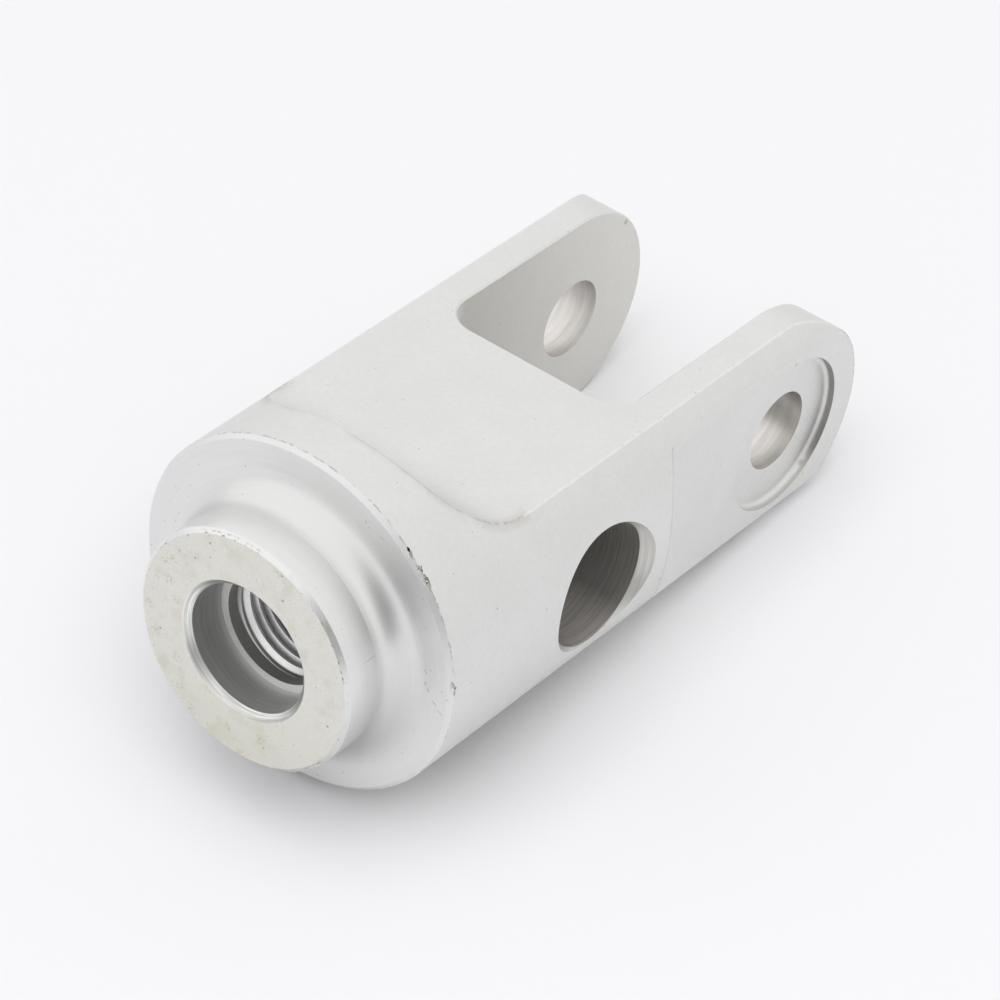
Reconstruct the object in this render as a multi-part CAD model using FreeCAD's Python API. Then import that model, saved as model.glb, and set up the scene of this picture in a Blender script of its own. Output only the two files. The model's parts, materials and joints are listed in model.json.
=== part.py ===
import FreeCAD, Part
import math
import os

# Clevis rod end, milled from one turned bar.
# The rod axis is X: the threaded collar faces -X and the fork points to +X.
# The pin axis is Y. Sizes are in millimetres, with x measured from the collar's end face;
# the finished body is moved so that the origin is the centre of the pin bore.

# Turned body and collar
body_d = 50.0
collar_d = 34.0
collar_face_to_shoulder = 10.0
cove_r = 4.1
cove_undercut = 0.15
collar_chamfer = 0.6
shoulder_chamfer = 0.6

# Threaded hole and its counterbore
thread_major_d = 16.0
counterbore_d = 18.2
counterbore_depth = 6.5
mouth_chamfer = 0.9

# Flats milled above and below
across_flats = 32.0
flat_start_x = 29.5
flat_runout_r = 12.5

# Slot between the two ears
slot_w = 29.2
slot_floor_x = 55.0
slot_corner_r = 4.8

# Ears, their outer faces and the pin bore
pin_x = 85.0
pin_bore_d = 11.6
across_cheeks = 43.5
cheek_cut_r = 30.0
recess_d = 22.8
recess_depth = 1.3
recess_floor_r = 0.8

# Hole across the body, with a coned mouth on each side
cross_x = 41.9
cross_bore_d = 17.8
cross_cone_angle = 69.0
across_cross_cones = 46.5

# Light breaks on the milled edges
edge_break = 0.25

# How far cutters reach past the metal
clear = 2.0

body_r = body_d / 2
flat_z = across_flats / 2
cheek_y = across_cheeks / 2
ear_end_r = flat_z
overall_length = pin_x + ear_end_r

AXIS_X = FreeCAD.Vector(1, 0, 0)
AXIS_Y = FreeCAD.Vector(0, 1, 0)
AXIS_Z = FreeCAD.Vector(0, 0, 1)
ORIGIN = FreeCAD.Vector(0, 0, 0)


def point(x, y=0.0, z=0.0):
    return FreeCAD.Vector(x, y, z)


def closed_face(corners):
    """A flat face from corners; a pair (middle, end) in the list is an arc to that end."""
    edges = []
    here = corners[0]
    for corner in corners[1:] + corners[:1]:
        if isinstance(corner, tuple):
            middle, end = corner
            edges.append(Part.Arc(here, middle, end).toShape())
            here = end
        else:
            edges.append(Part.makeLine(here, corner))
            here = corner
    return Part.Face(Part.Wire(edges))


def quarter_arc(centre, start_direction, end_direction, radius):
    """Middle and end points of a quarter circle that starts at centre + start_direction."""
    halfway = start_direction + end_direction
    halfway.normalize()
    return centre + halfway * radius, centre + end_direction * radius


def turned_bar():
    """The bar as it leaves the lathe: collar, cove, shoulder and body, before any milling."""
    collar_r = collar_d / 2
    cove_start_x = collar_face_to_shoulder - cove_r
    cove_floor_r = collar_r - cove_undercut
    cove_centre = point(cove_start_x, cove_floor_r + cove_r)
    bar_end_x = overall_length + clear
    profile = closed_face([
        point(0),
        point(0, collar_r - collar_chamfer),
        point(collar_chamfer, collar_r),
        point(cove_start_x - cove_undercut, collar_r),
        point(cove_start_x, cove_floor_r),
        quarter_arc(cove_centre, -AXIS_Y, AXIS_X, cove_r),
        point(collar_face_to_shoulder, body_r - shoulder_chamfer),
        point(collar_face_to_shoulder + shoulder_chamfer, body_r),
        point(bar_end_x, body_r),
        point(bar_end_x),
    ])
    return profile.revolve(ORIGIN, AXIS_X, 360)


def flat_cutter():
    """The metal milled off above the upper flat, with the cutter's radius where it lifts out."""
    top_z = max(body_r, flat_z + flat_runout_r) + clear
    far_x = overall_length + 2 * clear
    runout_centre = point(flat_start_x, -body_r - clear, flat_z + flat_runout_r)
    profile = closed_face([
        point(far_x, -body_r - clear, flat_z),
        point(flat_start_x, -body_r - clear, flat_z),
        quarter_arc(runout_centre, -AXIS_Z, -AXIS_X, flat_runout_r),
        point(flat_start_x - flat_runout_r, -body_r - clear, top_z),
        point(far_x, -body_r - clear, top_z),
    ])
    return profile.extrude(AXIS_Y * 2 * (body_r + clear))


def slot_cutter():
    """The slot, open at the fork's end, with rounded corners at its floor."""
    side_y = slot_w / 2
    bottom_z = -body_r - clear
    far_x = overall_length + 2 * clear
    left_centre = point(slot_floor_x + slot_corner_r, side_y - slot_corner_r, bottom_z)
    right_centre = point(slot_floor_x + slot_corner_r, slot_corner_r - side_y, bottom_z)
    profile = closed_face([
        point(far_x, side_y, bottom_z),
        point(slot_floor_x + slot_corner_r, side_y, bottom_z),
        quarter_arc(left_centre, AXIS_Y, -AXIS_X, slot_corner_r),
        point(slot_floor_x, slot_corner_r - side_y, bottom_z),
        quarter_arc(right_centre, -AXIS_X, -AXIS_Y, slot_corner_r),
        point(far_x, -side_y, bottom_z),
    ])
    return profile.extrude(AXIS_Z * 2 * (body_r + clear))


def across(x, radius, half_length):
    """A cylinder along the pin's direction, centred on the rod axis."""
    return Part.makeCylinder(radius, 2 * half_length, point(x, -half_length), AXIS_Y)


def ear_end_cutter():
    """What leaves a full radius about the pin at the end of each ear."""
    reach = overall_length + 2 * clear - pin_x
    half_y = body_r + clear
    half_z = body_r + clear
    block = Part.makeBox(reach, 2 * half_y, 2 * half_z, point(pin_x, -half_y, -half_z))
    return block.cut(across(pin_x, ear_end_r, half_y + clear))


def outer_cylinder(x, radius, face_y, side):
    """A cutter from the plane |y| = face_y outwards; side is 1 or -1."""
    length = body_r + clear - face_y
    return Part.makeCylinder(radius, length, point(x, side * face_y), AXIS_Y * side)


def recess_cutter(side):
    """The round recess about the pin bore, with a small radius between floor and wall."""
    floor_y = cheek_y - recess_depth
    cutter = outer_cylinder(pin_x, recess_d / 2, floor_y, side)
    floor_edges = [e for e in cutter.Edges if is_round_edge_at(e, floor_y)]
    return cutter.makeFillet(recess_floor_r, floor_edges)


def is_round_edge_at(edge, y):
    """True for a circle that lies in the plane |y| = y."""
    if not isinstance(edge.Curve, Part.Circle):
        return False
    return all(abs(abs(v.Point.y) - y) < 1e-6 for v in edge.Vertexes)


def cross_cone_cutter(side):
    """The coned mouth of the cross hole; it cuts deepest where the round body stands proud."""
    start_y = across_cross_cones / 2
    start_r = cross_bore_d / 2
    depth = body_r + clear - start_y
    mouth_r = start_r + depth * math.tan(math.radians(cross_cone_angle / 2))
    return Part.makeCone(start_r, mouth_r, depth, point(cross_x, side * start_y), AXIS_Y * side)


def axial_bores():
    """Counterbore with its chamfered mouth, and the threaded hole, which ends in the cross hole."""
    counterbore_r = counterbore_d / 2
    mouth = Part.makeCone(counterbore_r + mouth_chamfer, counterbore_r, mouth_chamfer, ORIGIN, AXIS_X)
    counterbore = Part.makeCylinder(counterbore_r, counterbore_depth, ORIGIN, AXIS_X)
    threaded = Part.makeCylinder(thread_major_d / 2, cross_x, ORIGIN, AXIS_X)
    return [mouth, counterbore, threaded]


def is_milled_edge(edge):
    """True for the straight edges that the flats leave on the ears and the body."""
    if not isinstance(edge.Curve, Part.Line):
        return False
    ends = [v.Point for v in edge.Vertexes]
    on_flat = all(abs(abs(p.z) - flat_z) < 1e-6 for p in ends)
    along_axis = abs(ends[0].y - ends[-1].y) < 1e-6
    return on_flat and along_axis


def clevis_body():
    body = turned_bar()
    upper_flat = flat_cutter()
    lower_flat = upper_flat.mirror(ORIGIN, AXIS_Z)
    body = body.cut([upper_flat, lower_flat, slot_cutter(), ear_end_cutter()])
    for side in (1, -1):
        body = body.cut(outer_cylinder(pin_x, cheek_cut_r, cheek_y, side))
    body = body.makeChamfer(edge_break, [e for e in body.Edges if is_milled_edge(e)])
    holes = axial_bores()
    holes.append(across(pin_x, pin_bore_d / 2, body_r + clear))
    holes.append(across(cross_x, cross_bore_d / 2, body_r + clear))
    for side in (1, -1):
        holes.append(recess_cutter(side))
        holes.append(cross_cone_cutter(side))
    return body.cut(holes)


os.makedirs("parts", exist_ok=True)
clevis_body().translated(point(-pin_x)).exportStep("parts/clevis_body.step")
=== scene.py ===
"""Clevis rod end: one machined steel piece, dressed round its solid. Lengths in the scene are metres."""

import json
import math
import random

import bmesh
import bpy
from mathutils import Matrix, Vector


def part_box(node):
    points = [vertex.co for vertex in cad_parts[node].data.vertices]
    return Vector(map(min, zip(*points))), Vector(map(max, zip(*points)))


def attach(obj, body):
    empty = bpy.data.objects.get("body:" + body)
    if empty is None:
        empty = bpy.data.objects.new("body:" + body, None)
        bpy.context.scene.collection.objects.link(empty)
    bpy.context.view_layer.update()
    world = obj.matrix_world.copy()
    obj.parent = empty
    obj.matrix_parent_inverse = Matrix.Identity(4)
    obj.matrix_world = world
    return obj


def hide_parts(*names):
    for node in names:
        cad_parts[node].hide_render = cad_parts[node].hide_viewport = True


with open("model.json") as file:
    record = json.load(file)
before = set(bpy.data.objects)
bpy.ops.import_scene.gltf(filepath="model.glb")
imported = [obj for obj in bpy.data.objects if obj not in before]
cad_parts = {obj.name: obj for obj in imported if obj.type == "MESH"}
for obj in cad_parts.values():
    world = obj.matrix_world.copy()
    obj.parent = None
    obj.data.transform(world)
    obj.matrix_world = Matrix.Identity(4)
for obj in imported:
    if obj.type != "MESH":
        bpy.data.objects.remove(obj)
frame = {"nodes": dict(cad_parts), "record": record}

bl_info = {
    "name": "Clevis rod end",
    "version": (1, 0, 0),
    "blender": (4, 5, 0),
    "location": "3D View > Sidebar > Clevis",
    "description": "Finishes a machined clevis rod end: plated body, bored holes, thread and worn edges",
    "category": "Object",
}

MM = 0.001
ALONG_ROD = Vector((1, 0, 0))
NODE = "clevis_body"
MOUNTS = {m["name"]: m for m in frame["record"]["mounts"]}
LOW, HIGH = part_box(NODE)

# Places on the solid, in millimetres from the middle of the pin bore
COLLAR_END_X = LOW.x / MM
COLLAR_R = 17.0
COLLAR_RIM_R = 16.45
MOUTH_R = 10.0
SHOULDER_X = COLLAR_END_X + 10.0
SHOULDER_RIM_X = SHOULDER_X + 0.6
BODY_R = HIGH.y / MM
EAR_R = HIGH.x / MM
FLAT_Z = EAR_R
FLAT_EDGE_Y = math.sqrt(BODY_R ** 2 - FLAT_Z ** 2)
CHEEK_Y = 21.75
CHEEK_CUT_R = 30.0
SLOT_SIDE_Y = 14.6
SLOT_FLOOR_X = COLLAR_END_X + 55.0
SLOT_CORNER_R = 4.8
RUNOUT_X = COLLAR_END_X + 29.5
RUNOUT_R = 12.5
RECESS_R = 11.4

# Painted shade on one side of a hole: the way towards that side, from and to along it in millimetres, and how
# dark
RECESS_SHADE = ((1, 0, 0.6), 1.0, 4.5, 0.5)
COUNTERBORE_SHADE = ((0, 0.8, 0.6), -7, 4, 0.3)
CROSS_BORE_SHADE = ((0, 0, 1), -8.9, -6.5, 0.5)
PIN_BORE_SHADE = ((0, 0, 1), -5.5, 1.5, 0.34)
# Where the collar's underside facing the floor gets painted shade and where its end is yellowed, laid out in
# the same way
UNDERSIDE_SHADE = ((0, -0.6, -0.8), 7.0, 17.0)
YELLOWED = ((0, 0, -1), 3.0, 15.0)
# Machined finishes: material, colour, millimetres between cutting lines, roughness, the axis that the
# lines follow one another along, their contrast, their relief in millimetres, and the side with painted shade
MACHINED = {
    "mouth": ("mouth_steel", "#FFFFFC", 0.32, 0.3, "X", 0.75, 0.02),
    "bored": ("bored_steel", "#D7D7D5", 0.25, 0.5, "X", 0.2, 0.003, COUNTERBORE_SHADE),
    "floored": ("counterbore_floor_steel", "#FFFFFF", 0.3, 0.6, "X", 0.08, 0.003),
    "drilled": ("drilled_steel", "#F0ECE8", 0.28, 0.6, "Y", 0.4, 0.06, CROSS_BORE_SHADE),
    "recess wall": ("recess_wall_steel", "#E4E2DE", 0.3, 0.36, "Y", 0.2, 0.003, RECESS_SHADE),
    "countersunk": ("countersunk_steel", "#DEDDD8", 0.3, 0.38, "Y", 0.3, 0.006),
    "reamed": ("reamed_steel", "#F0ECE8", 0.7, 0.3, "Y", 0.25, 0.02, PIN_BORE_SHADE),
}
# The line along the shoulder's rim: width and patch in millimetres, how much shows, its tint and strength
RIM_LINE = (0.16, 0.9, 0.38, "#74716C", 0.5)

# Worn stretches of rim: from and to in degrees about the rod, from +Y towards +Z, and how many marks
COLLAR_CHIPS = ((60, 99, 13), (121, 136, 4), (152, 172, 6), (186, 243, 9), (262, 400, 9))
COLLAR_TICKS = ((34, 40, 4), (62, 98, 12), (119, 136, 4), (154, 170, 5), (190, 242, 13), (255, 400, 12))
SHOULDER_TICKS = ((40, 44, 2), (50, 83, 34), (112, 121, 6), (142, 176, 26), (184, 210, 16), (215, 400, 40))
# Heavy dings in the shoulder's rim, in degrees, nicks along the flat's near edge, in millimetres,
# and nicks in the run-out's edge, in degrees
SHOULDER_DINGS = (130, 135.5, 139.5, 174.5)
FLAT_NICKS = (-51, -47, -42, -39.5, -36, -33.5, -32, -27, -20, -18, 2.5)
RUNOUT_NICKS = (106, 109, 117, 124)
DING_GRAINS = 8
DING_BURRS = 3
NICKS_ON_OTHER_FLAT_EDGES = 9
NICKS_ON_EAR_END = 5
# Pits: along and across the rod on the flat, along and up the cheek, degrees and millimetres elsewhere
FLAT_PITS = ((-48, 6.5), (-45.5, 8.5), (-55, 11.5), (-53.5, -0.5), (-54.5, -1.5), (-47, -6))
CHEEK_PITS = ((-15, 11.5), (0, 11.5), (-20, -3), (-8, 13.5))
SIDE_PITS = ((154, -38), (194, -30), (142, -70), (156, -29), (159, -65), (170, -56))
SHOULDER_PITS = ((83, 24.2), (24, 21.9), (115, 22.4), (171, 21), (176, 20.9), (62, 20.7))
END_PITS = ((102, 13.9), (107, 15.6), (159, 10.6), (278, 12.6), (252, 12.6), (233, 10.4), (150, 15.2))
# Scratches in the shoulder: degrees, radius and half-length in millimetres, and how far it runs outwards
SHOULDER_SCRATCHES = (
    (52, 19.5, 0.6, 1.2), (55, 19.2, 0.4, -0.5), (171, 21.0, 0.8, 0.5), (178, 21.4, 0.5, 0.6),
    (182, 22.6, 0.9, 1.5), (184, 23.5, 0.6, 2.0), (122, 22.8, 0.7, 0.2))
# Brown spots on the collar's end: degrees and radius in millimetres
END_SPOTS = ((28, 15.0), (33, 14.7), (10, 11.1), (341, 15.0), (356, 15.4), (276, 13.3), (252, 12.6),
             (106, 15.9), (326, 12.4), (298, 16.0), (267, 16.2), (20, 13.2), (310, 14.8))
# Brown and reddish stains: centre and radius in millimetres
STAINS = ((7, -21.1, -9, 0.7), (6.6, -21.4, -10.2, 0.5), (10.7, 14.6, 11.0, 0.6), (-0.5, 17, -5.7, 0.8),
          (-31.2, -17.6, 17.8, 0.4), (-50.6, -25, 1.5, 0.4))


def mount_radius(name):
    """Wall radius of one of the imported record's round mounts, in metres."""
    return MOUNTS[name]["dims"]["r_mm"] * MM


def linear(hex_colour):
    """An sRGB hex colour, such as #C9CAC7, as the linear RGBA that Blender's sockets take."""
    channels = [int(hex_colour[start:start + 2], 16) / 255 for start in (1, 3, 5)]
    return tuple(c / 12.92 if c <= 0.04045 else ((c + 0.055) / 1.055) ** 2.4 for c in channels) + (1.0,)


def colour_property(name, description, hex_colour):
    """A colour that the sidebar shows."""
    return bpy.props.FloatVectorProperty(
        name=name, description=description, subtype="COLOR", size=4, min=0, max=1, default=linear(hex_colour))


def length_property(name, description, length_mm):
    """A length that the sidebar shows."""
    return bpy.props.FloatProperty(
        name=name, description=description, default=length_mm * MM, unit="LENGTH", subtype="DISTANCE")


class ClevisSizes(bpy.types.PropertyGroup):
    """Sizes that the finishing work needs and the solid doesn't hold."""

    thread_pitch: length_property("Thread pitch", "Advance of the internal thread in one turn", 1.5)
    thread_depth: length_property("Thread depth", "Height of a thread crest above its root", 0.81)
    thread_lead_in: length_property("Thread lead-in", "Plain stretch before the first crest", 1.67)
    thread_start_angle: bpy.props.FloatProperty(
        name="Thread start", description="Where about the axis the thread begins",
        default=math.radians(120), unit="ROTATION", subtype="ANGLE")
    nick_length: length_property("Nick length", "Half the length of a usual nick along its edge", 0.55)
    nick_depth: length_property("Nick depth", "Half the width and depth of a usual nick", 0.2)
    pit_radius: length_property("Pit radius", "Half the width of a usual pit in a face", 0.13)


class ClevisColours(bpy.types.PropertyGroup):
    """Colours of the finishes."""

    plating: colour_property("Plating", "Satin plating on the outside", "#E9E9E8")
    turned: colour_property("Turned plating", "Plating over the turned collar and cove", "#EBEBEA")
    shoulder: colour_property("Shoulder", "Plating on the shoulder's flat ring", "#E8E8E8")
    slot: colour_property("Slot sides", "Plating inside the slot", "#E3E2DD")
    turned_end: colour_property("Turned end", "The collar's faced end", "#E9E8E2")
    thread_steel: colour_property("Thread steel", "Cut thread", "#FFFFFF")
    floor: colour_property("Floor", "Pale studio floor", "#F3F3F5")


class ClevisStage(bpy.types.PropertyGroup):
    """Camera and light."""

    lens: bpy.props.FloatProperty(
        name="Lens", description="Focal length on a 36 mm sensor, in millimetres", default=165.05, min=10)
    tent: bpy.props.FloatProperty(
        name="Tent", description="Brightness of the white tent that the metal mirrors", default=1.02, min=0)
    tent_gap: bpy.props.FloatProperty(
        name="Tent gap", description="How much darker the tent's opening is, beside the camera",
        default=0.6, min=0, max=1, subtype="FACTOR")
    even_light: bpy.props.FloatProperty(
        name="Even light", description="Light that reaches the floor from all round", default=0.64, min=0)
    key_power: bpy.props.FloatProperty(
        name="Key light", description="Power of the large lamp above", default=12.8, min=0,
        unit="POWER", subtype="NONE")


def add_node(tree, kind, inputs=(), **settings):
    """Adds one node. Its inputs come by name, or in the node's own order, such as value, from and to.

    Each input takes a value, a socket, or a node, which gives its first output.
    """
    node = tree.nodes.new(kind)
    for name, value in settings.items():
        setattr(node, name, value)
    named = inputs if isinstance(inputs, dict) else dict(enumerate(inputs))
    for key, value in named.items():
        if isinstance(value, bpy.types.Node):
            value = value.outputs[0]
        if isinstance(value, bpy.types.NodeSocket):
            tree.links.new(value, node.inputs[key])
        else:
            node.inputs[key].default_value = value
    return node


def new_material(name):
    material = bpy.data.materials.new(name)
    material.use_nodes = True
    material.node_tree.nodes.clear()
    return material, material.node_tree


def place_mm(tree):
    """The position on the object in millimetres, and its three parts."""
    place = add_node(tree, "ShaderNodeTexCoord").outputs["Object"]
    scaled = add_node(tree, "ShaderNodeVectorMath", {0: place, "Scale": 1 / MM}, operation="SCALE")
    parts = add_node(tree, "ShaderNodeSeparateXYZ", (scaled,)).outputs
    return scaled, parts[0], parts[1], parts[2]


def off_axis(tree, first, second):
    """Distance from an axis, from the two distances square to it."""
    both = add_node(tree, "ShaderNodeCombineXYZ", (0.0, first, second))
    return add_node(tree, "ShaderNodeVectorMath", (both,), operation="LENGTH").outputs["Value"]


def gap_to_edge(tree, first, first_at, second, second_at):
    """Distance to the edge where one measure of the place reads first_at and another reads second_at."""
    off_first = add_node(tree, "ShaderNodeMath", (first, first_at), operation="SUBTRACT")
    off_second = add_node(tree, "ShaderNodeMath", (second, second_at), operation="SUBTRACT")
    return off_axis(tree, off_first, off_second)


def along_way(tree, place, way, start_mm, end_mm):
    """0 to 1 over a stretch of a direction, measured from the pin bore's middle."""
    along = add_node(tree, "ShaderNodeVectorMath", (place, way), operation="DOT_PRODUCT").outputs["Value"]
    return add_node(tree, "ShaderNodeMapRange", (along, start_mm, end_mm))


def stain(tree, colour, *layers):
    """The colour with layers over it: each gives where it lies, from 0 to 1, its tint and its strength."""
    for share, tint, strength in layers:
        amount = add_node(tree, "ShaderNodeMath", (share, strength), operation="MULTIPLY")
        mixed = add_node(tree, "ShaderNodeMix", {0: amount, 6: colour, 7: linear(tint)}, data_type="RGBA")
        colour = mixed.outputs[2]
    return colour


def specks(tree, place, spacing_mm, size_mm, share):
    """Small scattered dots, 1 inside: share is how many of the cells hold one."""
    cells = add_node(tree, "ShaderNodeTexVoronoi", {"Vector": place, "Scale": 1 / spacing_mm}).outputs
    edge = size_mm / spacing_mm
    near = add_node(tree, "ShaderNodeMapRange", (cells["Distance"], edge, 0.4 * edge))
    pick = add_node(tree, "ShaderNodeSeparateColor", (cells["Color"],))
    chosen = add_node(tree, "ShaderNodeMath", (pick, share), operation="LESS_THAN")
    return add_node(tree, "ShaderNodeMath", (near, chosen), operation="MULTIPLY")


def scratches(tree, place, turn, length_mm, width_mm, share):
    """Short straight scratches, all running one way: dots on a grid that is stretched along them."""
    spacing_mm = 1.3
    stretch = (width_mm / length_mm, 1.0, 1.0)
    laid = add_node(tree, "ShaderNodeMapping", {"Vector": place, "Rotation": turn, "Scale": stretch})
    return specks(tree, laid, spacing_mm, width_mm, share)


def spots(tree, place, centres):
    """1 inside soft round spots, each given by its centre and radius."""
    covered = 0.0
    for x_mm, y_mm, z_mm, r_mm in centres:
        gap = add_node(tree, "ShaderNodeVectorMath", (place, (x_mm, y_mm, z_mm)), operation="DISTANCE")
        near = add_node(tree, "ShaderNodeMapRange", (gap.outputs["Value"], r_mm, 0.3 * r_mm))
        covered = add_node(tree, "ShaderNodeMath", (covered, near), operation="MAXIMUM")
    return covered


def worn_lines(tree, place, colour, *lines):
    """The colour with broken lines along edges, which an uneven pattern lets show here and there.

    Each line gives the distance to its edge, its width and its patches' size in millimetres, how much of
    it shows, its tint and its strength.
    """
    for gap_mm, width_mm, patch_mm, cover, tint, strength in lines:
        near = add_node(tree, "ShaderNodeMapRange", (gap_mm, width_mm, 0.3 * width_mm))
        pattern = {"Vector": place, "Scale": 1 / patch_mm, "Detail": 3.0}
        patches = add_node(tree, "ShaderNodeTexNoise", pattern)
        bare = 0.9 - 0.8 * cover
        shows = add_node(tree, "ShaderNodeMapRange", (patches, bare - 0.1, bare + 0.08))
        line = add_node(tree, "ShaderNodeMath", (near, shows), operation="MULTIPLY")
        colour = stain(tree, colour, (line, tint, strength))
    return colour


def finish_metal(material, tree, colour, roughness, height, height_mm):
    """Ends a metal's tree: height is a 0 to 1 relief of height_mm."""
    bump = add_node(tree, "ShaderNodeBump", {"Height": height, "Distance": height_mm * MM, "Strength": 1.0})
    metal = add_node(tree, "ShaderNodeBsdfPrincipled",
                     {"Base Color": colour, "Metallic": 1.0, "Roughness": roughness, "Normal": bump})
    add_node(tree, "ShaderNodeOutputMaterial", {"Surface": metal})
    return material


def milled_edges(tree, x, z, side_y, radius, from_pin):
    """Distance to the nearest of the cheeks' edges, and of the edges along the flats and the slot."""
    beyond_pin = add_node(tree, "ShaderNodeMath", (x, 0.0), operation="MAXIMUM")
    ear = off_axis(tree, beyond_pin, z)
    ear_end = gap_to_edge(tree, ear, EAR_R, side_y, CHEEK_Y)
    cheek_cut = gap_to_edge(tree, from_pin, CHEEK_CUT_R, radius, BODY_R)
    above_cut = add_node(tree, "ShaderNodeMath", (CHEEK_Y, side_y), operation="SUBTRACT")
    cheek_cut = add_node(tree, "ShaderNodeMath", (cheek_cut, above_cut), operation="MAXIMUM")
    cheek = add_node(tree, "ShaderNodeMath", (ear_end, cheek_cut), operation="MINIMUM")
    # The flats' edges begin at the run-out and the slot's at its floor; ahead of that they are out of reach
    gaps = []
    for start_x, second, second_at in ((RUNOUT_X, radius, BODY_R),
                                       (SLOT_FLOOR_X + SLOT_CORNER_R, side_y, SLOT_SIDE_Y)):
        gap = gap_to_edge(tree, ear, FLAT_Z, second, second_at)
        short = add_node(tree, "ShaderNodeMath", (start_x, x), operation="SUBTRACT")
        gaps.append(add_node(tree, "ShaderNodeMath", (gap, short), operation="MAXIMUM"))
    return cheek, add_node(tree, "ShaderNodeMath", gaps, operation="MINIMUM")


def runout_edge(tree, x, z, radius):
    """Distance to the curved edge where a flat's cutter lifted out of the round body."""
    height = add_node(tree, "ShaderNodeMath", (z,), operation="ABSOLUTE")
    from_cutter = gap_to_edge(tree, x, RUNOUT_X, height, FLAT_Z + RUNOUT_R)
    gap = gap_to_edge(tree, from_cutter, RUNOUT_R, radius, BODY_R)
    over_flat = add_node(tree, "ShaderNodeMath", (x, RUNOUT_X), operation="SUBTRACT")
    return add_node(tree, "ShaderNodeMath", (gap, over_flat), operation="MAXIMUM")


def satin_plated_steel(name, base_colour):
    """Zinc plating over milled and tumbled steel: silvery white and soft, with faint clouds and specks."""
    material, tree = new_material(name)
    place, x, y, z = place_mm(tree)
    radius = off_axis(tree, y, z)
    from_pin = off_axis(tree, x, z)
    side_y = add_node(tree, "ShaderNodeMath", (y,), operation="ABSOLUTE")
    cloud, mottle, grain = [
        add_node(tree, "ShaderNodeTexNoise", {"Vector": place, "Scale": 1 / patch_mm, "Detail": detail})
        for patch_mm, detail in ((7.0, 5.0), (0.7, 3.0), (0.5, 4.0))]
    colour = stain(
        tree, base_colour, (cloud, "#BEBDB8", 0.22), (mottle, "#BBB9B4", 0.24),
        (specks(tree, place, 1.7, 0.15, 0.3), "#77705F", 0.35),
        (scratches(tree, place, (0.3, 0.2, 0.5), 2.6, 0.08, 0.14), "#8F8D88", 0.45),
        (scratches(tree, place, (0.1, 0.9, -0.7), 1.8, 0.07, 0.12), "#FFFFFF", 0.5),
        (spots(tree, place, STAINS), "#9C7B66", 0.45))
    # A dark line along the run-out's edge, a thin dark line round the cheeks, and on the milled edges a white
    # painted highlight beside a dark line
    runout = runout_edge(tree, x, z, radius)
    cheek, milled = milled_edges(tree, x, z, side_y, radius, from_pin)
    rim = gap_to_edge(tree, x, SHOULDER_RIM_X, radius, BODY_R)
    colour = worn_lines(
        tree, place, colour,
        (runout, 0.22, 0.9, 0.5, "#7C7263", 0.65), (runout, 1.1, 3.5, 0.5, "#A89F90", 0.2),
        (cheek, 0.2, 1.0, 0.6, "#85827D", 0.35), (rim, *RIM_LINE),
        (milled, 0.2, 1.0, 0.75, "#FFFFFF", 0.6), (milled, 0.22, 0.6, 0.25, "#85827D", 0.6))
    # Painted shade of the recess wall reaches half way down the small radius at its foot, on the wall's
    # shaded side
    foot = gap_to_edge(tree, from_pin, RECESS_R, side_y, CHEEK_Y - 0.55)
    recess_shade = add_node(tree, "ShaderNodeMapRange", (foot, 0.5, 0.25))
    recess_shaded_side = along_way(tree, place, *RECESS_SHADE[:3])
    recess_shade = add_node(tree, "ShaderNodeMath", (recess_shade, recess_shaded_side), operation="MULTIPLY")
    colour = stain(tree, colour, (recess_shade, "#8F8C87", 0.8))
    roughness = add_node(tree, "ShaderNodeMath", (grain, 0.10, 0.40), operation="MULTIPLY_ADD")
    return finish_metal(material, tree, colour, roughness, grain, 0.014)


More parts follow.
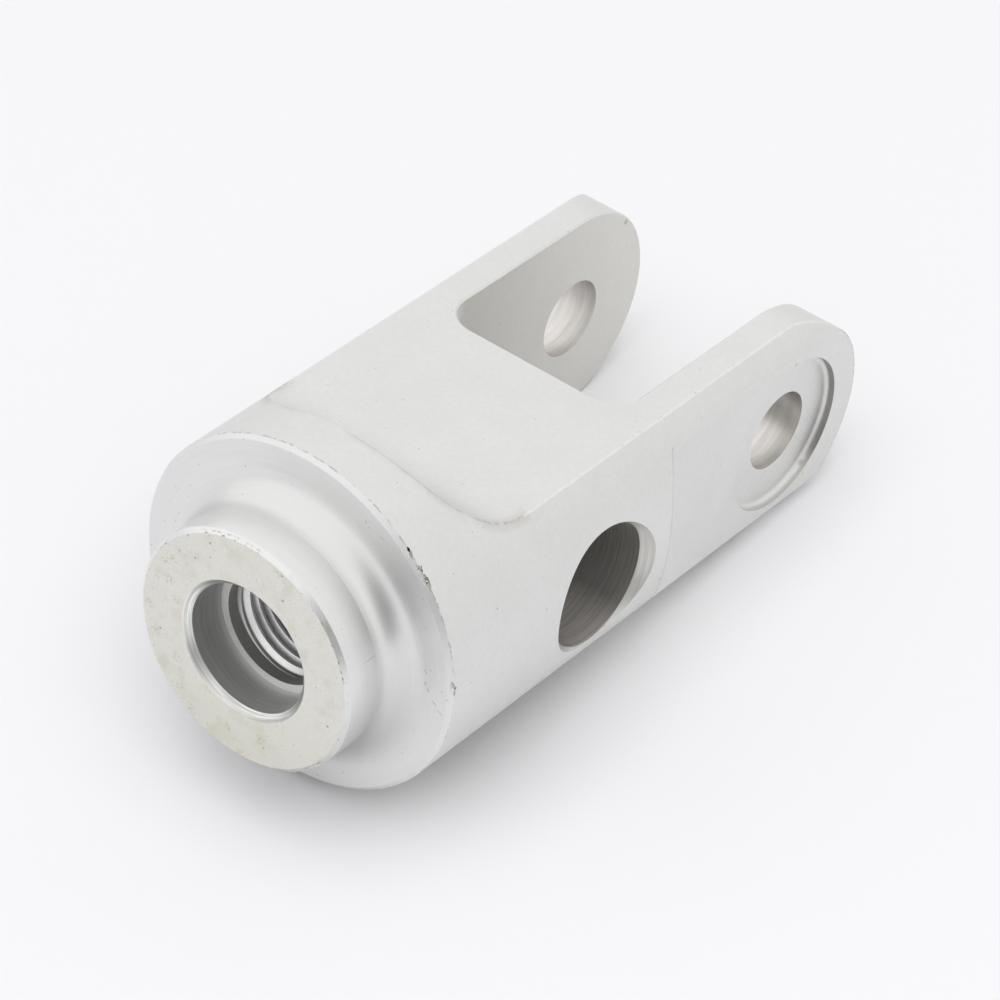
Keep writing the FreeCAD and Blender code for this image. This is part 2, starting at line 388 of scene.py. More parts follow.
def turned_plated_steel():
    """The same plating over lathe-turned rings: glossy in the cove, duller out on the shoulder's ring."""
    material, tree = new_material("turned_plated_steel")
    colours = bpy.context.scene.clevis_colours
    near, far = tuple(colours.turned), tuple(colours.shoulder)
    place, x, y, z = place_mm(tree)
    radius = off_axis(tree, y, z)
    # Turning lines are about 0.1 mm apart, drawn at 0.3 mm so that they show
    lines_mm = 0.3
    along = add_node(tree, "ShaderNodeMath", (x, radius), operation="ADD")
    unrolled = add_node(tree, "ShaderNodeCombineXYZ", (along, y, z))
    laid = add_node(tree, "ShaderNodeMapping", {"Vector": unrolled, "Scale": (1 / lines_mm, 0.12, 0.12)})
    streaks = add_node(tree, "ShaderNodeTexNoise", {"Vector": laid, "Scale": 1.0, "Detail": 3.0})
    outer = add_node(tree, "ShaderNodeMapRange", (radius, COLLAR_R + 1.0, 23.0),
                     interpolation_type="SMOOTHSTEP")
    colour = add_node(tree, "ShaderNodeMix", {0: outer, 6: near, 7: far}, data_type="RGBA").outputs[2]
    cove = gap_to_edge(tree, x, SHOULDER_X, radius, COLLAR_R)
    # Painted shade deepening towards the cove's hollow
    cove_shade = add_node(tree, "ShaderNodeMapRange", (cove, 4.5, 1.5))
    inner = add_node(tree, "ShaderNodeMath", (1.0, outer), operation="SUBTRACT")
    # Painted shade on the collar's and cove's underside, which faces the floor
    facing_floor = along_way(tree, place, *UNDERSIDE_SHADE)
    collar_underside_shade = add_node(tree, "ShaderNodeMath", (facing_floor, inner), operation="MULTIPLY")
    colour = stain(
        tree, colour, (streaks, "#B5B4B0", 0.16), (specks(tree, place, 1.6, 0.14, 0.25), "#6B655C", 0.45),
        (scratches(tree, place, (1.2, 0.4, 1.5), 2.2, 0.08, 0.12), "#8E8C87", 0.4),
        (cove_shade, "#A9A9A8", 0.15), (collar_underside_shade, "#8E8E8D", 0.32))
    rim = gap_to_edge(tree, x, SHOULDER_RIM_X, radius, BODY_R)
    chamfer = gap_to_edge(tree, x, COLLAR_END_X + 0.3, radius, COLLAR_R - 0.3)
    colour = worn_lines(tree, place, colour, (rim, *RIM_LINE), (chamfer, 0.45, 2.6, 0.3, "#8D8A84", 0.3))
    dull = add_node(tree, "ShaderNodeMath", (outer, 0.12, 0.24), operation="MULTIPLY_ADD")
    roughness = add_node(tree, "ShaderNodeMath", (streaks, 0.12, dull), operation="MULTIPLY_ADD")
    return finish_metal(material, tree, colour, roughness, streaks, 0.002)


def faced_steel_end():
    """The collar's faced end: thin warm plating with yellowish clouds and tiny rust freckles."""
    material, tree = new_material("faced_steel_end")
    place = place_mm(tree)[0]
    cloud = add_node(tree, "ShaderNodeTexNoise", {"Vector": place, "Scale": 1 / 2.6, "Detail": 6.0})
    warm = add_node(tree, "ShaderNodeMapRange", (cloud, 0.5, 0.8))
    grain = add_node(tree, "ShaderNodeTexNoise", {"Vector": place, "Scale": 1 / 0.35, "Detail": 4.0})
    # Each brown spot is a cluster of freckles about a millimetre across
    centres = [(*(on_rod(COLLAR_END_X, r_mm, degrees)[0] / MM), 1.0) for degrees, r_mm in END_SPOTS]
    broken = add_node(tree, "ShaderNodeMapRange", (grain, 0.42, 0.6))
    rust = add_node(tree, "ShaderNodeMath", (spots(tree, place, centres), broken), operation="MULTIPLY")
    colour = stain(
        tree, tuple(bpy.context.scene.clevis_colours.turned_end), (warm, "#C5C29C", 0.4),
        (along_way(tree, place, *YELLOWED), "#CBCAAC", 0.2),
        (specks(tree, place, 0.6, 0.17, 0.2), "#857A52", 0.5),
        (specks(tree, place, 1.7, 0.25, 0.4), "#6E5A3C", 0.6),
        (rust, "#A8904C", 0.3), (grain, "#A3A199", 0.25))
    roughness = add_node(tree, "ShaderNodeMath", (grain, 0.10, 0.42), operation="MULTIPLY_ADD")
    return finish_metal(material, tree, colour, roughness, grain, 0.012)


def machined_steel(name, base_colour, feed_mm, rough, lines_along, contrast, relief_mm, shaded_side=None):
    """Bare steel cut by a boring bar, a drill or a reamer: grey, with fine lines round the hole.

    The given side of the hole is darkened with painted shade, where less light reaches.
    """
    material, tree = new_material(name)
    place = place_mm(tree)[0]
    spread = {"X": (1 / feed_mm, 0.08, 0.08), "Y": (0.08, 1 / feed_mm, 0.08)}[lines_along]
    laid = add_node(tree, "ShaderNodeMapping", {"Vector": place, "Scale": spread})
    lines = add_node(tree, "ShaderNodeTexNoise",
                     {"Vector": laid, "Scale": 1.0, "Detail": 4.0, "Roughness": 0.7})
    fine = add_node(tree, "ShaderNodeMapRange", (lines, 0.3, 0.7))
    colour = stain(tree, linear(base_colour), (fine, "#605E5C", contrast))
    # Painted shade on one side of the hole
    if shaded_side:
        colour = stain(tree, colour, (along_way(tree, place, *shaded_side[:3]), "#4A4844", shaded_side[3]))
    roughness = add_node(tree, "ShaderNodeMath", (lines, 0.12, rough), operation="MULTIPLY_ADD")
    return finish_metal(material, tree, colour, roughness, lines, relief_mm)


def tapped_steel():
    """Steel cut by a tap: bright crests, with painted shade darkening the roots."""
    material, tree = new_material("tapped_steel")
    place, x, y, z = place_mm(tree)
    root_mm = mount_radius("rod_thread") / MM
    # Painted shade in the thread's roots, darkest at the root radius
    root_shade = add_node(tree, "ShaderNodeMapRange", (off_axis(tree, y, z), root_mm - 0.2, root_mm))
    cloud = add_node(tree, "ShaderNodeTexNoise", {"Vector": place, "Scale": 1 / 0.6, "Detail": 3.0})
    colour = stain(tree, tuple(bpy.context.scene.clevis_colours.thread_steel),
                   (root_shade, "#5E5C58", 0.62), (cloud, "#9A9892", 0.2))
    return finish_metal(material, tree, colour, 0.42, cloud, 0.02)


def burred_steel():
    """Torn bare steel in nicks and burrs: bright facets beside dark patches, which are partly the torn steel
    and partly painted shade in the nicks.
    """
    material, tree = new_material("burred_steel")
    place = place_mm(tree)[0]
    cloud = add_node(tree, "ShaderNodeTexNoise", {"Vector": place, "Scale": 1 / 0.25, "Detail": 3.0})
    # Dark patches: partly the torn steel, partly painted shade inside the nicks
    colour = stain(tree, linear("#E2DFDA"), (cloud, "#5C5852", 0.6))
    return finish_metal(material, tree, colour, 0.38, cloud, 0.04)


def from_axis(point, along, through):
    """Distance from a point to the line along X or Y that passes through another point."""
    kept = (1, 2) if along == "X" else (0, 2)
    return math.hypot(*(point[i] - through[i] for i in kept))


def finish_of(centre, normal):
    """Which finish the solid's surface has at a place."""
    slack = 0.06 * MM
    rod = Vector((0, 0, 0))
    cross = Vector(MOUNTS["cross_bore"]["pos_m"])
    from_rod = from_axis(centre, "X", rod)
    from_pin = from_axis(centre, "Y", rod)
    from_cross = from_axis(centre, "Y", cross)
    if from_rod < mount_radius("rod_counterbore") + slack and centre.x < cross.x - mount_radius("cross_bore"):
        if abs(normal.x) > 0.9:
            return "floored"
        return "tapped" if from_rod < mount_radius("rod_thread") + slack else "bored"
    if from_cross < mount_radius("cross_bore") + slack:
        return "drilled"
    cone_reach = 1.3 * mount_radius("cross_bore")
    inwards = Vector((cross.x - centre.x, 0, cross.z - centre.z)).normalized().dot(normal)
    if from_cross < cone_reach and inwards > 0.4:
        return "countersunk"
    if from_pin < mount_radius("pin_bore") + slack:
        return "reamed"
    if abs(from_pin - RECESS_R * MM) < slack and abs(normal.y) < 0.02:
        return "recess wall"
    if centre.x < COLLAR_END_X * MM + slack and normal.x < -0.99:
        return "faced"
    if centre.x < (COLLAR_END_X + 1.0) * MM and from_rod < MOUTH_R * MM:
        return "mouth"
    between_ears = abs(centre.y) < SLOT_SIDE_Y * MM + slack and abs(normal.z) < 0.2
    if centre.x > SLOT_FLOOR_X * MM - slack and between_ears:
        return "slotted"
    if centre.x < SHOULDER_RIM_X * MM + slack:
        return "turned"
    return "plated"


def store_normals(mesh, side):
    """Keeps the exact corner normals as an attribute; side is -1 for a cutter, whose faces get turned."""
    kept = mesh.attributes.new("true_normal", "FLOAT_VECTOR", "CORNER")
    for corner, normal in zip(kept.data, mesh.corner_normals):
        corner.vector = normal.vector * side


def restore_normals(mesh):
    """Gives the stored normals back after the merge and the cuts."""
    kept = [Vector(corner.vector) for corner in mesh.attributes["true_normal"].data]
    mesh.shade_smooth()
    mesh.normals_split_custom_set(kept)
    mesh.attributes.remove(mesh.attributes["true_normal"])


def merged_copy():
    """A copy of the solid's mesh with its loose triangles joined and its finishes assigned."""
    mesh = frame["nodes"][NODE].data.copy()
    store_normals(mesh, 1)
    shell = bmesh.new()
    shell.from_mesh(mesh)
    bmesh.ops.remove_doubles(shell, verts=shell.verts, dist=0.001 * MM)
    shell.to_mesh(mesh)
    shell.free()
    mesh.materials.clear()
    colours = bpy.context.scene.clevis_colours
    finishes = {
        "plated": satin_plated_steel("satin_plated_steel", tuple(colours.plating)),
        "slotted": satin_plated_steel("slot_plated_steel", tuple(colours.slot)),
        "turned": turned_plated_steel(),
        "faced": faced_steel_end(),
        "tapped": tapped_steel(),
    }
    for finish, settings in MACHINED.items():
        finishes[finish] = machined_steel(*settings)
    order = list(finishes)
    for finish in order:
        mesh.materials.append(finishes[finish])
    for face in mesh.polygons:
        face.material_index = order.index(finish_of(face.center, face.normal))
    return mesh


def link_new(context, name, mesh):
    made = bpy.data.objects.new(name, mesh)
    context.scene.collection.objects.link(made)
    return made


def evaluated_mesh(context, made, name):
    """The plain mesh that an object's modifiers give; the object itself goes."""
    mesh = bpy.data.meshes.new_from_object(made.evaluated_get(context.evaluated_depsgraph_get()))
    bpy.data.objects.remove(made)
    mesh.name = name
    return mesh


def run_tree(context, tree, values, name, start=None):
    """Runs a geometry tree on a start mesh, with the values given by socket name, into a plain mesh."""
    holder = link_new(context, name + "_maker", start or bpy.data.meshes.new(name + "_start"))
    modifier = holder.modifiers.new("maker", "NODES")
    modifier.node_group = tree
    for item in tree.interface.items_tree:
        if item.item_type == "SOCKET" and item.name in values:
            modifier[item.identifier] = values[item.name]
    return evaluated_mesh(context, holder, name)


def on_rod(x_mm, r_mm, degrees):
    """A place at a radius about the rod, with the directions round the rod and away from it there."""
    angle = math.radians(degrees)
    away = Vector((0, math.cos(angle), math.sin(angle)))
    return Vector((x_mm * MM, 0, 0)) + away * r_mm * MM, Vector((0, -away.z, away.y)), away


class Marks:
    """Places for small dents or burrs: where each one is, which way it runs, and its half-sizes."""

    def __init__(self, seed):
        self.places = []
        self.aims = []
        self.sizes = []
        self.chance = random.Random(seed)

    def add(self, place, aim, length, width, stray=0.15):
        """One mark; stray is how far its direction may turn away from aim."""
        turn = Vector([self.chance.uniform(-stray, stray) for _ in range(3)])
        swell = self.chance.uniform(0.6, 1.4)
        self.places.append(place)
        self.aims.append(aim + turn)
        self.sizes.append(Vector((length * self.chance.uniform(0.6, 1.4), width, width)) * swell)

    def add_round_rod(self, stretches, x_mm, r_mm, length, width, lift_mm=0.0):
        """Marks strewn along stretches of a rim; lift_mm moves each one out of the metal."""
        for first, last, count in stretches:
            for _ in range(count):
                place, aim, away = on_rod(x_mm, r_mm, self.chance.uniform(first, last))
                shift = (away * lift_mm + ALONG_ROD * self.chance.uniform(-0.1, 0.1)) * MM
                self.add(place + shift, aim, length, width)

    def add_on_flat_edge(self, shift_mm, length, width):
        """Marks at the nicks along the flat's near edge, each moved by shift_mm."""
        for x_mm in FLAT_NICKS:
            place = Vector((x_mm, -FLAT_EDGE_Y, FLAT_Z)) + Vector(shift_mm)
            self.add(place * MM, ALONG_ROD, length, width)

    def mesh(self, name):
        """The places as loose points, with the aims and sizes as attributes for the node tree."""
        mesh = bpy.data.meshes.new(name)
        mesh.from_pydata(self.places, [], [])
        for title, vectors in (("aim", self.aims), ("size", self.sizes)):
            kept = mesh.attributes.new(title, "FLOAT_VECTOR", "POINT")
            kept.data.foreach_set("vector", [part for vector in vectors for part in vector])
        return mesh


def chip_marks(sizes):
    """Long shallow chips that make the rims uneven; the plating has run over them."""
    marks = Marks(3)
    long = sizes.nick_length
    wide = sizes.nick_depth
    marks.add_round_rod(COLLAR_CHIPS, COLLAR_END_X + 0.1, COLLAR_R - 0.1, long, wide, 0.1)
    marks.add_on_flat_edge((0.4, 0, 0.08), long, 0.7 * wide)
    return marks


def tick_marks(sizes):
    """Short torn nicks that show dark, along the rims and the milled edges."""
    marks = Marks(8)
    chance = marks.chance
    long = 0.5 * sizes.nick_length
    wide = 0.4 * sizes.nick_depth
    marks.add_round_rod(COLLAR_TICKS, COLLAR_END_X, COLLAR_RIM_R, long, wide)
    marks.add_round_rod(SHOULDER_TICKS, SHOULDER_RIM_X, BODY_R, long, 0.8 * wide)
    for degrees in SHOULDER_DINGS:
        for _ in range(DING_GRAINS):
            place, aim, away = on_rod(SHOULDER_RIM_X - 0.1, BODY_R, degrees + chance.uniform(-1.5, 1.5))
            shift = (ALONG_ROD * chance.uniform(-0.5, 0.4) - away * 0.05) * MM
            marks.add(place + shift, aim, 1.9 * long, 1.8 * wide, 0.9)
    marks.add_on_flat_edge((0, 0, 0), long, wide)
    for degrees in RUNOUT_NICKS:
        angle = math.radians(degrees)
        height = BODY_R * math.sin(angle)
        across = math.sqrt(RUNOUT_R ** 2 - (FLAT_Z + RUNOUT_R - height) ** 2)
        place = Vector((RUNOUT_X - across, BODY_R * math.cos(angle), height)) * MM
        marks.add(place, Vector((0.7, -0.5, 0)), long, wide, 0.6)
    for side_y, side_z in ((1, 1), (1, -1), (-1, -1)):
        for _ in range(NICKS_ON_OTHER_FLAT_EDGES):
            place = Vector((chance.uniform(-56, 0), side_y * FLAT_EDGE_Y, side_z * FLAT_Z)) * MM
            marks.add(place, ALONG_ROD, long, wide)
    for edge_y in (-CHEEK_Y, -SLOT_SIDE_Y, SLOT_SIDE_Y, CHEEK_Y):
        for _ in range(NICKS_ON_EAR_END):
            angle = math.radians(chance.uniform(-80, 80))
            away = Vector((math.cos(angle), 0, math.sin(angle)))
            place = (away * (EAR_R + 0.03) + Vector((0, edge_y, 0))) * MM
            marks.add(place, Vector((-away.z, 0, away.x)), long, wide)
    return marks


def pit_marks(sizes, marks):
    """Adds small pits and short scratches in the faces."""
    r = sizes.pit_radius
    proud = 0.06
    slant = Vector((0.8, 0.1, 0.6))
    for x_mm, y_mm in FLAT_PITS:
        marks.add(Vector((x_mm, y_mm, FLAT_Z + proud)) * MM, slant, r, 0.8 * r)
    for x_mm, z_mm in CHEEK_PITS:
        marks.add(Vector((x_mm, -CHEEK_Y - proud, z_mm)) * MM, slant, 2.2 * r, 0.8 * r)
    for degrees, x_mm in SIDE_PITS:
        marks.add(on_rod(x_mm, BODY_R + proud, degrees)[0], slant, 1.3 * r, 0.9 * r)
    for degrees, r_mm in SHOULDER_PITS:
        marks.add(on_rod(SHOULDER_X - proud, r_mm, degrees)[0], Vector((0, 0.3, 1)), 1.6 * r, 0.8 * r)
    for degrees, r_mm, long_mm, outwards in SHOULDER_SCRATCHES:
        place, aim, away = on_rod(SHOULDER_X, r_mm, degrees)
        marks.add(place, aim + outwards * away, long_mm * MM, 0.08 * MM)
    for degrees, r_mm in END_PITS:
        marks.add(on_rod(COLLAR_END_X - proud, r_mm, degrees)[0], Vector((0, 1, 0.4)), 1.2 * r, 0.9 * r)
    return marks


def new_tree(name, inputs):
    """A geometry tree with its named inputs, each given with its socket's kind, and its group input."""
    tree = bpy.data.node_groups.new(name, "GeometryNodeTree")
    tree.interface.new_socket("Geometry", in_out="OUTPUT", socket_type="NodeSocketGeometry")
    for title, kind in {"Geometry": "Geometry", **inputs, "Steel": "Material"}.items():
        tree.interface.new_socket(title, in_out="INPUT", socket_type="NodeSocket" + kind)
    return tree, add_node(tree, "NodeGroupInput").outputs


def marks_tree():
    """Node tree for dents and burrs: one uneven grain on each point, turned along its edge."""
    tree, given = new_tree("edge_marks", {"Unevenness": "Float", "Seed": "Int"})
    lump_size = 0.35 * MM
    grain = add_node(tree, "GeometryNodeMeshIcoSphere", {"Radius": 1.0, "Subdivisions": 2})
    aim = add_node(tree, "GeometryNodeInputNamedAttribute", {"Name": "aim"}, data_type="FLOAT_VECTOR")
    size = add_node(tree, "GeometryNodeInputNamedAttribute", {"Name": "size"}, data_type="FLOAT_VECTOR")
    aligned = add_node(tree, "FunctionNodeAlignRotationToVector", {"Vector": aim}, axis="X")
    twist = add_node(tree, "FunctionNodeRandomValue", {2: 0.0, 3: 2 * math.pi, "Seed": given["Seed"]},
                     data_type="FLOAT").outputs[1]
    about_itself = add_node(tree, "FunctionNodeAxisAngleToRotation", {"Axis": (1, 0, 0), "Angle": twist})
    turned = add_node(tree, "FunctionNodeRotateRotation", (aligned, about_itself), rotation_space="LOCAL")
    placed = add_node(tree, "GeometryNodeInstanceOnPoints",
                      {"Points": given["Geometry"], "Instance": grain.outputs["Mesh"], "Rotation": turned,
                       "Scale": size})
    real = add_node(tree, "GeometryNodeRealizeInstances", {"Geometry": placed})
    lumps = add_node(tree, "ShaderNodeTexNoise", {"W": given["Seed"], "Scale": 1 / lump_size, "Detail": 1.0},
                     noise_dimensions="4D")
    centred = add_node(tree, "ShaderNodeVectorMath", (lumps.outputs["Color"], (0.5, 0.5, 0.5)),
                       operation="SUBTRACT")
    shift = add_node(tree, "ShaderNodeVectorMath", {0: centred, "Scale": given["Unevenness"]},
                     operation="SCALE")
    uneven = add_node(tree, "GeometryNodeSetPosition", {"Geometry": real, "Offset": shift})
    coated = add_node(tree, "GeometryNodeSetMaterial", {"Geometry": uneven, "Material": given["Steel"]})
    add_node(tree, "NodeGroupOutput", {0: coated})
    return tree


class CLEVIS_OT_body(bpy.types.Operator):
    """Dress the machined body with its finishes and cut the nicks and pits of wear"""

    bl_idname = "clevis.body"
    bl_label = "Body"

    def execute(self, context):
        sizes = context.scene.clevis_sizes
        whole = link_new(context, "clevis_finished", merged_copy())
        plated = bpy.data.materials["satin_plated_steel"]
        ticks = pit_marks(sizes, tick_marks(sizes))
        cutters = [self.cutter(context, whole, chip_marks(sizes), "chips", 0.10 * MM, plated),
                   self.cutter(context, whole, ticks, "ticks", 0.05 * MM, burred_steel())]
        mesh = evaluated_mesh(context, whole, "clevis_finished")
        for cutter in cutters:
            bpy.data.objects.remove(cutter)
        restore_normals(mesh)
        body = link_new(context, "clevis_finished", mesh)
        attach(body, "root")
        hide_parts(NODE)
        return {"FINISHED"}

    def cutter(self, context, whole, marks, name, unevenness, steel):
        """Gives the body one more Boolean, which takes away uneven grains at the marks' places."""
        values = {"Unevenness": unevenness, "Seed": 5, "Steel": steel}
        grains = run_tree(context, marks_tree(), values, name, marks.mesh(name + "_places"))
        store_normals(grains, -1)
        tool = link_new(context, name, grains)
        cut = whole.modifiers.new(name, "BOOLEAN")
        cut.operation = "DIFFERENCE"
        cut.solver = "EXACT"
        cut.use_self = True
        cut.material_mode = "TRANSFER"
        cut.object = tool
        return tool


class CLEVIS_OT_burrs(bpy.types.Operator):
    """Raise the small burrs that stand beside the nicks"""

    bl_idname = "clevis.burrs"
    bl_label = "Burrs"

    def execute(self, context):
        sizes = context.scene.clevis_sizes
        long = 0.4 * sizes.nick_length
        wide = 0.3 * sizes.nick_depth
        raised = Marks(11)
        raised.add_round_rod(COLLAR_CHIPS, COLLAR_END_X + 0.25, COLLAR_R - 0.2, long, wide)
        for degrees in SHOULDER_DINGS:
            for _ in range(DING_BURRS):
                beside = degrees + raised.chance.uniform(-1, 1)
                place, aim, away = on_rod(SHOULDER_RIM_X - 0.3, BODY_R - 0.3, beside)
                raised.add(place, aim, 1.5 * long, 1.2 * wide, 0.5)
        raised.add_on_flat_edge((0.7, 0.15, 0), long, wide)
        values = {"Unevenness": 0.05 * MM, "Seed": 9, "Steel": bpy.data.materials["satin_plated_steel"]}
        mesh = run_tree(context, marks_tree(), values, "edge_burrs", raised.mesh("burr_places"))
        burrs = link_new(context, "edge_burrs", mesh)
        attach(burrs, "root")
        return {"FINISHED"}


def thread_tree():
    """Node tree for an internal thread: a ridge swept along a helix, chamfered at its start."""
    lengths = ("Root Radius", "Crest Radius", "Pitch", "Length", "Start", "Start Angle", "Chamfer Start",
               "Cross Radius", "Cross X")
    tree, given = new_tree("internal_thread", dict.fromkeys(lengths, "Float"))
    round_points = 96
    foot_share = 0.98
    crest_share = 0.26
    chamfer_slope = 0.62
    burying_slope = 3.0
    sink = 0.06 * MM
    depth = add_node(tree, "ShaderNodeMath", (given["Root Radius"], given["Crest Radius"]),
                     operation="SUBTRACT")
    ridge_height = add_node(tree, "ShaderNodeMath", (depth, sink), operation="ADD")
    turns = add_node(tree, "ShaderNodeMath", (given["Length"], given["Pitch"]), operation="DIVIDE")
    helix = add_node(tree, "GeometryNodeCurveSpiral",
                     {"Resolution": round_points, "Rotations": turns, "Start Radius": given["Root Radius"],
                      "End Radius": given["Root Radius"], "Height": given["Length"], "Reverse": True})
    helix = add_node(tree, "GeometryNodeSetCurveNormal", {"Curve": helix}, mode="Z_UP")
    foot = add_node(tree, "ShaderNodeMath", (given["Pitch"], foot_share), operation="MULTIPLY")
    crest = add_node(tree, "ShaderNodeMath", (given["Pitch"], crest_share), operation="MULTIPLY")
    ridge = add_node(tree, "GeometryNodeCurvePrimitiveQuadrilateral",
                     {"Height": ridge_height, "Bottom Width": foot, "Top Width": crest, "Offset": 0.0},
                     mode="TRAPEZOID")
    raised = add_node(tree, "ShaderNodeMath", (ridge_height, -0.5, sink), operation="MULTIPLY_ADD")
    stand = add_node(tree, "ShaderNodeCombineXYZ", {0: raised})
    ridge = add_node(tree, "GeometryNodeTransform",
                     {"Geometry": ridge, "Translation": stand, "Rotation": (0, 0, math.pi / 2)})
    swept = add_node(tree, "GeometryNodeCurveToMesh",
                     {"Curve": helix, "Profile Curve": ridge, "Fill Caps": True})
    started = add_node(tree, "ShaderNodeCombineXYZ", {2: given["Start Angle"]})
    turned = add_node(tree, "GeometryNodeTransform", {"Geometry": swept, "Rotation": started})
    beginning = add_node(tree, "ShaderNodeCombineXYZ", {0: given["Start"]})
    laid = add_node(tree, "GeometryNodeTransform",
                    {"Geometry": turned, "Rotation": (0, math.pi / 2, 0), "Translation": beginning})
    # The chamfer at the thread's start; ahead of it the ridge is pushed well into the metal
    place = add_node(tree, "GeometryNodeInputPosition")
    x, y, z = add_node(tree, "ShaderNodeSeparateXYZ", (place,)).outputs
    radius = off_axis(tree, y, z)
    ahead = add_node(tree, "ShaderNodeMath", (given["Chamfer Start"], x), operation="SUBTRACT")
    chamfer = add_node(tree, "ShaderNodeMath", (ahead, chamfer_slope), operation="MULTIPLY")
    buried = add_node(tree, "ShaderNodeMath", (ahead, burying_slope), operation="MULTIPLY")
    flare = add_node(tree, "ShaderNodeMath", (chamfer, buried), operation="MAXIMUM")
    cone = add_node(tree, "ShaderNodeMath", (given["Root Radius"], flare), operation="ADD")
    wider = add_node(tree, "ShaderNodeMath", (radius, cone), operation="MAXIMUM")
    pushed = add_node(tree, "ShaderNodeMath", (wider, radius), operation="DIVIDE")
    stretch = add_node(tree, "ShaderNodeCombineXYZ", (1.0, pushed, pushed))
    outwards = add_node(tree, "ShaderNodeVectorMath", (place, stretch), operation="MULTIPLY")
    chamfered = add_node(tree, "GeometryNodeSetPosition", {"Geometry": laid, "Position": outwards})
    hole = add_node(tree, "GeometryNodeMeshCylinder",
                    {"Vertices": round_points, "Radius": given["Cross Radius"], "Depth": 60 * MM})
    middle = add_node(tree, "ShaderNodeCombineXYZ", {0: given["Cross X"]})
    hole = add_node(tree, "GeometryNodeTransform",
                    {"Geometry": hole, "Rotation": (math.pi / 2, 0, 0), "Translation": middle})
    cut = add_node(tree, "GeometryNodeMeshBoolean", {"Mesh 1": chamfered, "Mesh 2": hole},
                   operation="DIFFERENCE", solver="EXACT")
    real = add_node(tree, "GeometryNodeRealizeInstances", {"Geometry": cut})
    coated = add_node(tree, "GeometryNodeSetMaterial", {"Geometry": real, "Material": given["Steel"]})
    add_node(tree, "NodeGroupOutput", {0: coated})
    return tree


class CLEVIS_OT_thread(bpy.types.Operator):
    """Cut the internal thread's turns behind the counterbore"""

    bl_idname = "clevis.thread"
    bl_label = "Thread"

    def execute(self, context):
        sizes = context.scene.clevis_sizes
        counterbore = MOUNTS["rod_counterbore"]
        counterbore_floor_x = counterbore["pos_m"][0] + counterbore["dims"]["length_mm"] / 2 * MM
        chamfer_x = counterbore_floor_x + sizes.thread_lead_in
        # The helix begins ahead of the chamfer, so that the first crest rises out of it
        turns_ahead = 0.733
        start_x = chamfer_x - turns_ahead * sizes.thread_pitch
        cross_x = MOUNTS["cross_bore"]["pos_m"][0]
        mesh = run_tree(context, thread_tree(), {
            "Root Radius": mount_radius("rod_thread"),
            "Crest Radius": mount_radius("rod_thread") - sizes.thread_depth,
            "Pitch": sizes.thread_pitch,
            "Length": cross_x - start_x,
            "Start": start_x,
            "Start Angle": sizes.thread_start_angle,
            "Chamfer Start": chamfer_x,
            "Cross Radius": mount_radius("cross_bore"),
            "Cross X": cross_x,
            "Steel": bpy.data.materials["tapped_steel"],
        }, "thread_turns")
        mesh.shade_smooth()
        mesh.set_sharp_from_angle(angle=math.radians(25))
        turns = link_new(context, "thread_turns", mesh)
        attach(turns, "root")
        return {"FINISHED"}


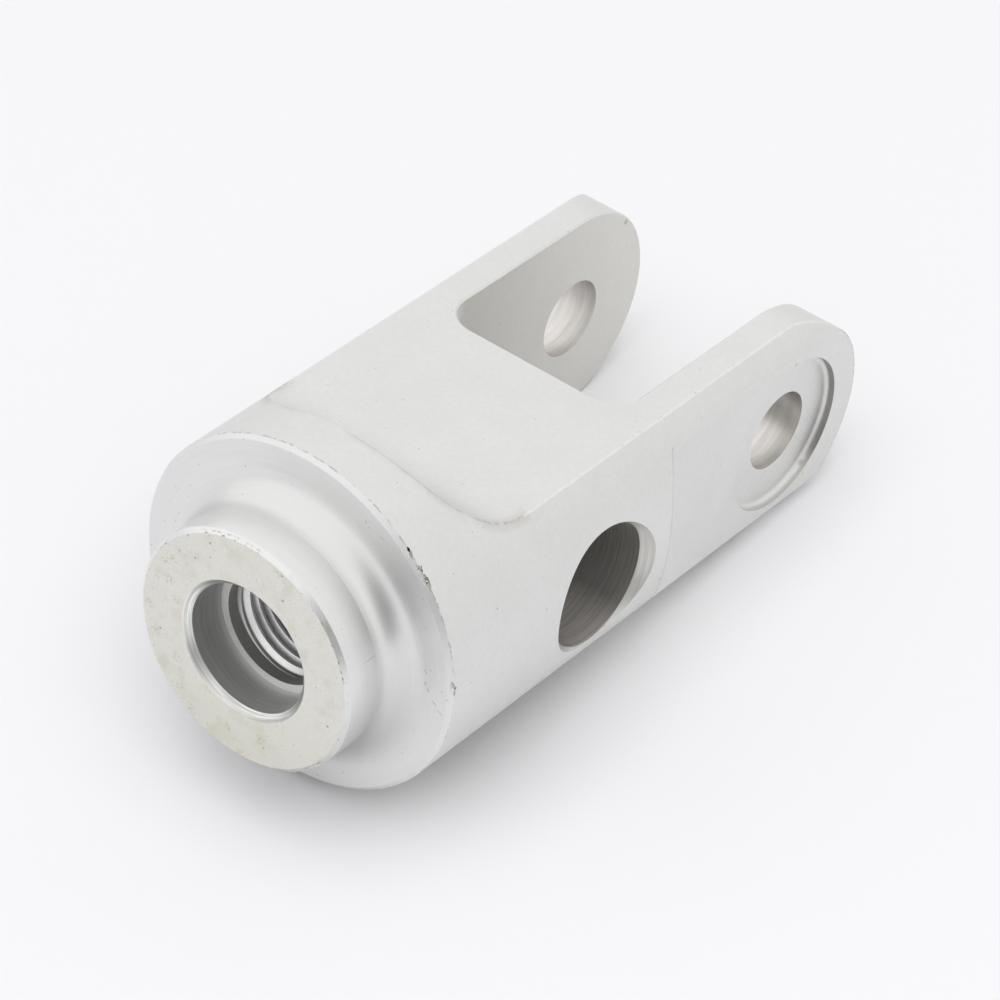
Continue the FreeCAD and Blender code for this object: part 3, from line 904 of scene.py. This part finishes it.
class CLEVIS_OT_stage(bpy.types.Operator):
    """Set the pale floor, the soft light and the camera"""

    bl_idname = "clevis.stage"
    bl_label = "Stage"

    def execute(self, context):
        scene = context.scene
        scene.view_settings.view_transform = "Standard"
        self.tent(scene, scene.clevis_stage)
        self.floor(context)
        self.lamp(context)
        self.camera(context)
        return {"FINISHED"}

    def tent(self, scene, stage):
        """A white tent with one opening: the metal mirrors it, and the floor gets an even light instead."""
        opening = Vector((-0.69, -0.72, 0.05)).normalized()
        opening_edge = math.cos(math.radians(46))
        opening_heart = math.cos(math.radians(8))
        bright_side = Vector((-0.45, 0.65, 0.6)).normalized()
        bright_gain = 0.08
        white = (1, 1, 1, 1)
        world = bpy.data.worlds.new("studio_tent")
        scene.world = world
        world.use_nodes = True
        tree = world.node_tree
        tree.nodes.clear()
        heading = add_node(tree, "ShaderNodeTexCoord").outputs["Generated"]
        gap = add_node(tree, "ShaderNodeVectorMath", (heading, opening), operation="DOT_PRODUCT")
        dark = add_node(tree, "ShaderNodeMapRange",
                        (gap.outputs["Value"], opening_edge, opening_heart, 0.0, stage.tent_gap),
                        interpolation_type="SMOOTHSTEP")
        lit = add_node(tree, "ShaderNodeMath", (1.0, dark), operation="SUBTRACT")
        side = add_node(tree, "ShaderNodeVectorMath", (heading, bright_side), operation="DOT_PRODUCT")
        gain = (side.outputs["Value"], bright_gain * stage.tent, stage.tent)
        brighter = add_node(tree, "ShaderNodeMath", gain, operation="MULTIPLY_ADD")
        strength = add_node(tree, "ShaderNodeMath", (lit, brighter), operation="MULTIPLY")
        mirrored = add_node(tree, "ShaderNodeBackground", {"Color": white, "Strength": strength})
        even = add_node(tree, "ShaderNodeBackground", {"Color": white, "Strength": stage.even_light})
        backdrop = {"Color": tuple(scene.clevis_colours.floor), "Strength": 1.0}
        seen = add_node(tree, "ShaderNodeBackground", backdrop)
        rays = add_node(tree, "ShaderNodeLightPath").outputs
        in_metal = add_node(tree, "ShaderNodeMixShader", (rays["Is Glossy Ray"], even, mirrored))
        mixed = add_node(tree, "ShaderNodeMixShader", (rays["Is Camera Ray"], in_metal, seen))
        add_node(tree, "ShaderNodeOutputWorld", {"Surface": mixed})

    def floor(self, context):
        """The floor lies under the shoulder's run-out and the ears' ends, which the part rests on."""
        material, tree = new_material("pale_floor")
        coat = add_node(tree, "ShaderNodeBsdfDiffuse", {"Color": tuple(context.scene.clevis_colours.floor)})
        add_node(tree, "ShaderNodeOutputMaterial", {"Surface": coat})
        up = resting_up()
        half_side = 3.0
        across = Vector((0, half_side, 0))
        along = across.cross(up)
        foot = -up * EAR_R * MM
        corners = [foot + along * a + across * b for a, b in ((-1, -1), (1, -1), (1, 1), (-1, 1))]
        mesh = bpy.data.meshes.new("floor")
        mesh.from_pydata(corners, [], [(0, 1, 2, 3)])
        mesh.materials.append(material)
        link_new(context, "floor", mesh)

    def lamp(self, context):
        """A large soft lamp above the camera. It lights the floor; the metal mirrors the tent instead."""
        data = bpy.data.lights.new("softbox", "AREA")
        data.shape = "SQUARE"
        data.size = 1.6
        data.energy = context.scene.clevis_stage.key_power
        lamp = link_new(context, "softbox", data)
        lamp.visible_glossy = False
        place = Vector((-0.5, -0.22, 1.35))
        target = Vector((-0.03, 0, 0))
        place_looking(lamp, place, target, Vector((0, 1, 0)))

    def camera(self, context):
        data = bpy.data.cameras.new("camera")
        data.sensor_width = 36.0
        data.lens = context.scene.clevis_stage.lens
        data.clip_start = 0.01
        data.clip_end = 20.0
        camera = link_new(context, "camera", data)
        context.scene.camera = camera
        standpoint = Vector((-0.42588, -0.26754, 0.36534))
        sight = Vector((0.65199, 0.44400, -0.61463))
        place_looking(camera, standpoint, standpoint + sight, Vector((0.43657, 0.44294, 0.78308)))


def resting_up():
    """The floor's upward direction: the part lies tilted on its run-out's rim and its ears' ends."""
    rim = Vector((RUNOUT_X - math.sqrt(RUNOUT_R ** 2 - (FLAT_Z + RUNOUT_R - BODY_R) ** 2), 0, -BODY_R))
    reach = math.hypot(rim.x, rim.z)
    lean = math.acos(EAR_R / reach) - math.atan2(-rim.x, -rim.z)
    return Vector((-math.sin(lean), 0, math.cos(lean)))


def place_looking(item, position, target, up):
    """Puts a lamp or camera at position, facing target, with up as near its top as can be."""
    forward = (target - position).normalized()
    right = forward.cross(up).normalized()
    top = right.cross(forward)
    turn = Matrix((right, top, -forward)).transposed()
    item.matrix_world = Matrix.Translation(position) @ turn.to_4x4()


class CLEVIS_PT_panel(bpy.types.Panel):
    """Lists the pieces and their sizes, colours and light"""

    bl_idname = "CLEVIS_PT_panel"
    bl_label = "Clevis rod end"
    bl_space_type = "VIEW_3D"
    bl_region_type = "UI"
    bl_category = "Clevis"

    def draw(self, context):
        for group_name in GROUPS:
            group = getattr(context.scene, group_name)
            box = self.layout.box()
            for name in group.__annotations__:
                box.prop(group, name)
        for operator in OPERATORS:
            self.layout.operator(operator.bl_idname)


GROUPS = {"clevis_sizes": ClevisSizes, "clevis_colours": ClevisColours, "clevis_stage": ClevisStage}
OPERATORS = (CLEVIS_OT_stage, CLEVIS_OT_body, CLEVIS_OT_burrs, CLEVIS_OT_thread)


def register():
    for name, group in GROUPS.items():
        bpy.utils.register_class(group)
        setattr(bpy.types.Scene, name, bpy.props.PointerProperty(type=group))
    for operator in OPERATORS:
        bpy.utils.register_class(operator)
    bpy.utils.register_class(CLEVIS_PT_panel)


def unregister():
    bpy.utils.unregister_class(CLEVIS_PT_panel)
    for operator in reversed(OPERATORS):
        bpy.utils.unregister_class(operator)
    for name, group in reversed(GROUPS.items()):
        delattr(bpy.types.Scene, name)
        bpy.utils.unregister_class(group)


def main():
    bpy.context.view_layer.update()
    register()
    bpy.ops.clevis.stage()
    bpy.ops.clevis.body()
    bpy.ops.clevis.burrs()
    bpy.ops.clevis.thread()


if __name__ == "__main__":
    main()
